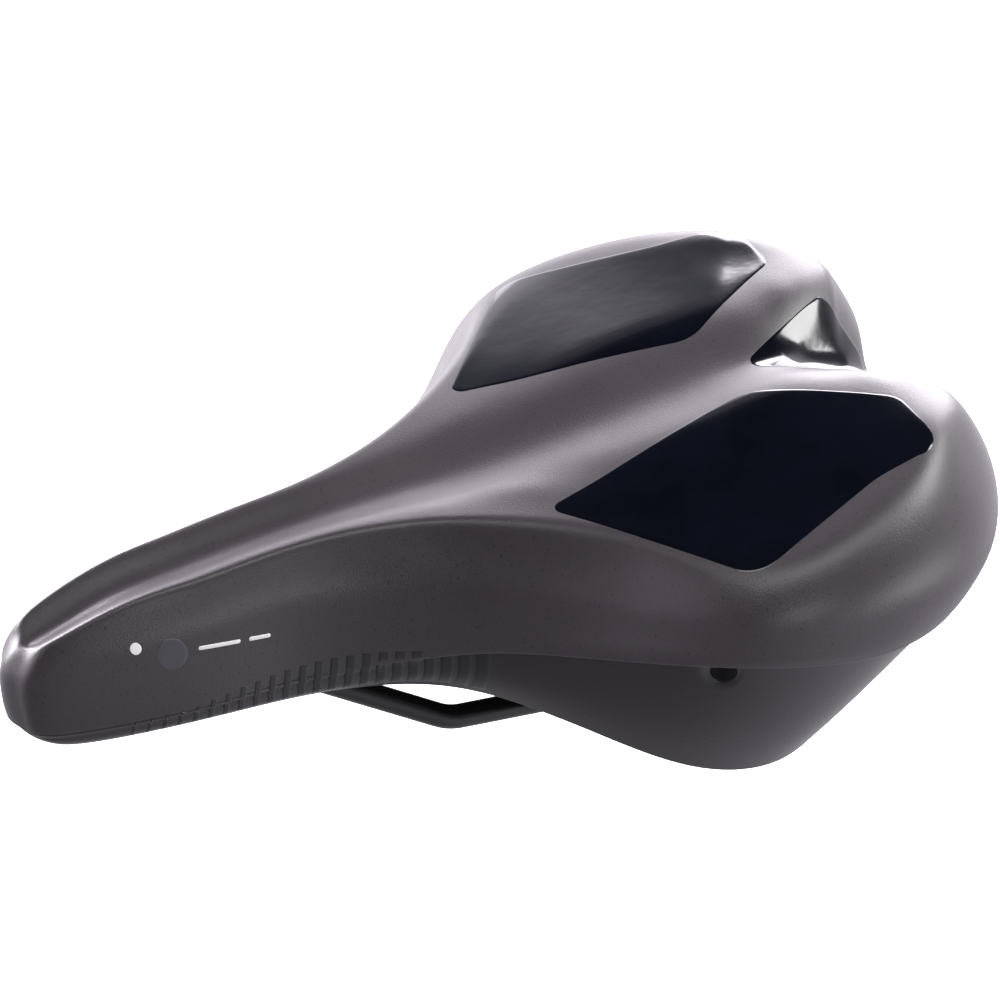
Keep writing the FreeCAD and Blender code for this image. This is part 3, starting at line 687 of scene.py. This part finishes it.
cover_matte = textured("cover_matte", (0.035, 0.030, 0.035), (0.046, 0.040, 0.046), 0.31, 0.44, 2200.0, 0.22)
# The skirt's dark satin tones are partly its own colour and partly painted shade under the pad's overhanging
# lip.
skirt_satin = textured("skirt_satin", (0.018, 0.0165, 0.019), (0.026, 0.024, 0.027), 0.26, 0.36, 900.0, 0.12)
gloss_film = textured(
    "gloss_film", (0.001, 0.0015, 0.004), (0.002, 0.003, 0.007), 0.07, 0.13, 130.0, 0.08, mottled=60.0
)
bar_film = textured("bar_film", (0.010, 0.010, 0.012), (0.015, 0.015, 0.018), 0.18, 0.28, 500.0, 0.08)
mark_grey = textured("mark_grey", (0.050, 0.047, 0.060), (0.062, 0.058, 0.073), 0.25, 0.35, 500.0, 0.05)
mark_white = textured("mark_white", (0.80, 0.80, 0.80), (0.90, 0.90, 0.90), 0.35, 0.45, 500.0, 0.05)
# Near black with its reflection turned down: partly the plug's own black rubber and partly painted shade of
# the dimple's hollow.
plug_black_and_shade = textured("plug_black_and_shade", (0.003, 0.003, 0.004), (0.006, 0.006, 0.007), 0.35, 0.5, 900.0, 0.3)
plug_black_and_shade.node_tree.nodes["Principled BSDF"].inputs["Specular IOR Level"].default_value = 0.15
shell_plastic = textured("shell_plastic", (0.018, 0.018, 0.019), (0.026, 0.026, 0.028), 0.45, 0.6, 700.0, 0.2)
rail_black = textured("rail_black", (0.006, 0.006, 0.007), (0.009, 0.009, 0.010), 0.16, 0.24, 300.0, 0.05)
bridge_black = textured("bridge_black", (0.014, 0.014, 0.015), (0.022, 0.022, 0.023), 0.3, 0.42, 500.0, 0.1)

# Sparse dark pores in the pad's skin.
PORE_EDGE = (0.27, 0.33)  # noise below the first is a pore, above the second plain skin
PORE_TONE = 0.55
cover_shader = cover_matte.node_tree.nodes["Principled BSDF"]
pores = node(cover_matte, "ShaderNodeTexNoise", Scale=1100.0, Detail=1.0)
pore_place = node(cover_matte, "ShaderNodeTexCoord")
link(cover_matte, pore_place, "Object", pores, "Vector")
pore_edge = node(cover_matte, "ShaderNodeMapRange")
pore_edge.inputs["From Min"].default_value = PORE_EDGE[0]
pore_edge.inputs["From Max"].default_value = PORE_EDGE[1]
pore_edge.inputs["To Min"].default_value = PORE_TONE
pore_edge.inputs["To Max"].default_value = 1.0
link(cover_matte, pores, "Fac", pore_edge, "Value")
pored = node(cover_matte, "ShaderNodeMixRGB", blend_type="MULTIPLY", Fac=1.0)
link(cover_matte, cover_shader.inputs["Base Color"].links[0].from_node, "Color", pored, "Color1")
link(cover_matte, pore_edge, "Result", pored, "Color2")
link(cover_matte, pored, "Color", cover_shader, "Base Color")

# The skirt has the pad's tone at the nose and turns darker along the flank, where the pad's lip stands over
# it; that darker flank tone is partly the satin's own colour and partly painted shade under the lip.
SKIRT_TONE_X = (0.030, 0.065)             # metres, where the tone changes
SKIRT_NOSE_TONE = (0.040, 0.035, 0.040, 1)
skirt_place = node(skirt_satin, "ShaderNodeTexCoord")
skirt_axes = node(skirt_satin, "ShaderNodeSeparateXYZ")
link(skirt_satin, skirt_place, "Object", skirt_axes, "Vector")
to_nose = node(skirt_satin, "ShaderNodeMapRange")
to_nose.inputs["From Min"].default_value = SKIRT_TONE_X[0]
to_nose.inputs["From Max"].default_value = SKIRT_TONE_X[1]
link(skirt_satin, skirt_axes, "X", to_nose, "Value")
skirt_shader = skirt_satin.node_tree.nodes["Principled BSDF"]
nose_tone = node(skirt_satin, "ShaderNodeMixRGB")
nose_tone.inputs["Color2"].default_value = SKIRT_NOSE_TONE
flank_tone_and_shade = skirt_shader.inputs["Base Color"].links[0].from_node
link(skirt_satin, flank_tone_and_shade, "Color", nose_tone, "Color1")
link(skirt_satin, to_nose, "Result", nose_tone, "Fac")
link(skirt_satin, nose_tone, "Color", skirt_shader, "Base Color")

zinc = textured("zinc", (0.42, 0.42, 0.43), (0.58, 0.58, 0.60), 0.25, 0.4, 800.0, 0.1)
zinc.node_tree.nodes["Principled BSDF"].inputs["Metallic"].default_value = 1.0
brass = textured("brass", (0.55, 0.38, 0.15), (0.70, 0.52, 0.24), 0.25, 0.38, 800.0, 0.1)
brass.node_tree.nodes["Principled BSDF"].inputs["Metallic"].default_value = 1.0
nylon = textured("nylon", (0.62, 0.60, 0.52), (0.74, 0.72, 0.65), 0.4, 0.55, 600.0, 0.1)
elastomer_black = textured(
    "elastomer_black", (0.020, 0.020, 0.021), (0.030, 0.030, 0.031), 0.55, 0.7, 900.0, 0.3
)
foam_grey = textured("foam_grey", (0.28, 0.28, 0.26), (0.36, 0.36, 0.33), 0.8, 0.95, 900.0, 0.8)
memory_yellow = textured("memory_yellow", (0.55, 0.52, 0.36), (0.66, 0.63, 0.46), 0.8, 0.95, 700.0, 0.8)

NODE_MATERIALS = {
    "foam_core": foam_grey, "memory_pad_left": memory_yellow, "memory_pad_right": memory_yellow,
    "base_shell": shell_plastic, "nose_socket": shell_plastic,
    "nose_clip": zinc, "nose_clip_screws": zinc, "bolt_inserts": brass, "elastomer_caps": zinc,
    "suspension_bolts": zinc, "bolt_washers": zinc, "rail_loop": rail_black, "rail_end_caps": elastomer_black,
    "rear_bridge": bridge_black, "bridge_bushes": nylon,
}
for node_name, finish in NODE_MATERIALS.items():
    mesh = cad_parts[node_name].data
    mesh.materials.clear()
    mesh.materials.append(finish)

for piece, finish, slot_name, replaced in (
    (cover, cover_matte, "cover", "top_cover"),
    (skirt, skirt_satin, "skirt", "side_skirt"),
    (panel_left, gloss_film, "gloss_film", "gloss_panel_left"),
    (panel_right, gloss_film, "gloss_film", "gloss_panel_right"),
    (panel_rear, gloss_film, "gloss_film", "rear_panel"),
    (bars_left, bar_film, "gloss_film", None),
    (bars_right, bar_film, "gloss_film", None),
    (mark_disc, mark_grey, "gloss_film", None),
    (mark_dot, mark_white, "gloss_film", None),
    (mark_dash, mark_white, "gloss_film", None),
    (plugs, plug_black_and_shade, "elastomer", "side_plugs"),
    (buffer_left, elastomer_black, "elastomer", "elastomer_left"),
    (buffer_right, elastomer_black, "elastomer", "elastomer_right"),
):
    piece.data.materials.append(finish)
    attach(piece, "rail_frame" if piece in (buffer_left, buffer_right) else "saddle_body")
    if replaced:
        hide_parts(replaced)
for piece, y in ((buffer_left, ELASTOMER_Y), (buffer_right, -ELASTOMER_Y)):
    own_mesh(piece)

# ---------------------------------------------------------------- stage, light and camera

FLOOR_Z = -0.16
HALF_FLOOR = 3.0
FLOOR_GLOW = 0.75         # the floor emits most of its own white, so that it stays even round the saddle
# The surround's brightness on the far and near side, at heights from straight down, -1, to straight up, 1.
FAR_SIDE = [
    (-1.0, 0.5), (-0.5, 1.0), (-0.35, 2.0), (0.12, 2.3), (0.34, 1.9), (0.48, 0.3), (0.62, 0.03), (1.0, 0.03),
]
NEAR_SIDE = [(-1.0, 0.45), (-0.3, 0.65), (0.0, 0.50), (0.2, 0.16), (0.6, 0.05), (1.0, 0.04)]
TAIL_GAIN = 1.8           # the near side is brighter towards the tail
NOSE_GAIN = 0.55          # and darker towards the nose
GAIN_X = (-0.7, 0.6)      # directions along x over which that happens
TURN_Y = (0.15, -0.55)    # and along y over which the near side turns into the far side
SKY_TINT = (1.0, 0.96, 1.04)

floor_corners = [
    (x * HALF_FLOOR, y * HALF_FLOOR, FLOOR_Z) for x, y in ((-1, -1), (1, -1), (1, 1), (-1, 1))
]
floor_mesh = bpy.data.meshes.new("floor")
floor_mesh.from_pydata(floor_corners, [], [(0, 1, 2, 3)])
floor = bpy.data.objects.new("floor", floor_mesh)
bpy.context.scene.collection.objects.link(floor)
floor_paper = textured("floor_paper", (0.88, 0.88, 0.88), (0.92, 0.92, 0.92), 0.85, 0.95, 400.0, 0.02)
floor_shader = floor_paper.node_tree.nodes["Principled BSDF"]
floor_shader.inputs["Emission Color"].default_value = (1, 1, 1, 1)
floor_shader.inputs["Emission Strength"].default_value = FLOOR_GLOW
floor.data.materials.append(floor_paper)

bpy.context.scene.view_settings.view_transform = "Standard"

# The floor doesn't light the saddle. The surround does: bright and low on the far side, dark overhead.
floor.visible_diffuse = False
floor.visible_glossy = False
world = bpy.data.worlds.new("studio")
bpy.context.scene.world = world
world.use_nodes = True
direction = node(world, "ShaderNodeTexCoord")
axes = node(world, "ShaderNodeSeparateXYZ")
link(world, direction, "Generated", axes, "Vector")


def sky_band(name, steps):
    """Colour ramp that gives the surround's brightness at each height of the direction."""
    height = node(world, "ShaderNodeMapRange")
    height.inputs["From Min"].default_value = -1.0
    height.inputs["From Max"].default_value = 1.0
    link(world, axes, "Z", height, "Value")
    band = node(world, "ShaderNodeValToRGB")
    band.name = name
    link(world, height, "Result", band, "Fac")
    ramp = band.color_ramp
    ramp.interpolation = "EASE"
    for k, (z, tone) in enumerate(steps):
        if k < 2:
            stop = ramp.elements[k]
        else:
            stop = ramp.elements.new(0.5 * (z + 1))
        stop.position = 0.5 * (z + 1)
        stop.color = (*(tone * share for share in SKY_TINT), 1)
    return band


far_band = sky_band("far_side", FAR_SIDE)
near_band = sky_band("near_side", NEAR_SIDE)
along = node(world, "ShaderNodeMapRange")
along.inputs["From Min"].default_value = GAIN_X[0]
along.inputs["From Max"].default_value = GAIN_X[1]
along.inputs["To Min"].default_value = TAIL_GAIN
along.inputs["To Max"].default_value = NOSE_GAIN
link(world, axes, "X", along, "Value")
near_lit = node(world, "ShaderNodeMixRGB", blend_type="MULTIPLY", Fac=1.0)
link(world, near_band, "Color", near_lit, "Color1")
link(world, along, "Result", near_lit, "Color2")
side = node(world, "ShaderNodeMapRange")
side.inputs["From Min"].default_value = TURN_Y[0]
side.inputs["From Max"].default_value = TURN_Y[1]
link(world, axes, "Y", side, "Value")
mixed = node(world, "ShaderNodeMixRGB")
link(world, side, "Result", mixed, "Fac")
link(world, near_lit, "Color", mixed, "Color1")
link(world, far_band, "Color", mixed, "Color2")
link(world, mixed, "Color", world.node_tree.nodes["Background"], "Color")


def softbox(name, place, target, size, power, tint=(1.0, 1.0, 1.0)):
    """Rectangular light at place that faces target."""
    lamp = bpy.data.lights.new(name, "AREA")
    lamp.color = tint
    lamp.shape = "RECTANGLE"
    lamp.size, lamp.size_y = size
    lamp.energy = power
    made = bpy.data.objects.new(name, lamp)
    made.location = place
    made.rotation_mode = "QUATERNION"
    made.rotation_quaternion = (Vector(target) - Vector(place)).to_track_quat("-Z", "Y")
    bpy.context.scene.collection.objects.link(made)


CENTRE = (0, 0, 0.05)
COOL = (1.0, 0.955, 1.03)                 # a faint violet, as on the photograph's highlights
# Places and sizes in metres, power in watts. The far side, away from the camera, is -y.
softbox("overhead", (0.0, 0.35, 1.6), CENTRE, (1.6, 0.6), 14)
softbox("tail_side", (-1.20, 0.10, 1.05), CENTRE, (0.8, 0.55), 20)
softbox("rail_glint", (0.0, 1.4, 0.55), CENTRE, (0.5, 0.14), 3.2)
softbox("tail_low", (-1.3, 1.0, -0.02), CENTRE, (0.8, 0.5), 7)
softbox("nose_side", (1.6, -0.5, 0.5), CENTRE, (1.7, 1.4), 11, COOL)
softbox("far_left", (-1.17, -1.50, 0.68), CENTRE, (1.2, 0.8), 34, COOL)
softbox("far_right", (0.75, -1.80, 0.50), CENTRE, (1.3, 0.8), 64, COOL)
softbox("ridge_strip", (-0.85, -1.72, 0.30), CENTRE, (1.2, 0.40), 3, COOL)

SENSOR_MM = 36.0
LENS_MM = 207.36
AZIMUTH = math.radians(63.4)
ELEVATION = math.radians(31.0)
ROLL = math.radians(4.2)
AIM = Vector((0.015, 0.0, 0.054))
DISTANCE = 1.6

camera_data = bpy.data.cameras.new("camera")
camera = bpy.data.objects.new("camera", camera_data)
bpy.context.scene.collection.objects.link(camera)
bpy.context.scene.camera = camera
camera_data.sensor_width = SENSOR_MM
camera_data.lens = LENS_MM
back = Vector((
    math.cos(AZIMUTH) * math.cos(ELEVATION),
    math.sin(AZIMUTH) * math.cos(ELEVATION),
    math.sin(ELEVATION),
))
level_right = Vector((-math.sin(AZIMUTH), math.cos(AZIMUTH), 0))
level_up = back.cross(level_right)
right = level_right * math.cos(ROLL) + level_up * math.sin(ROLL)
up = level_up * math.cos(ROLL) - level_right * math.sin(ROLL)
camera.matrix_world = Matrix((right, up, back)).transposed().to_4x4()
camera.location = AIM + back * DISTANCE
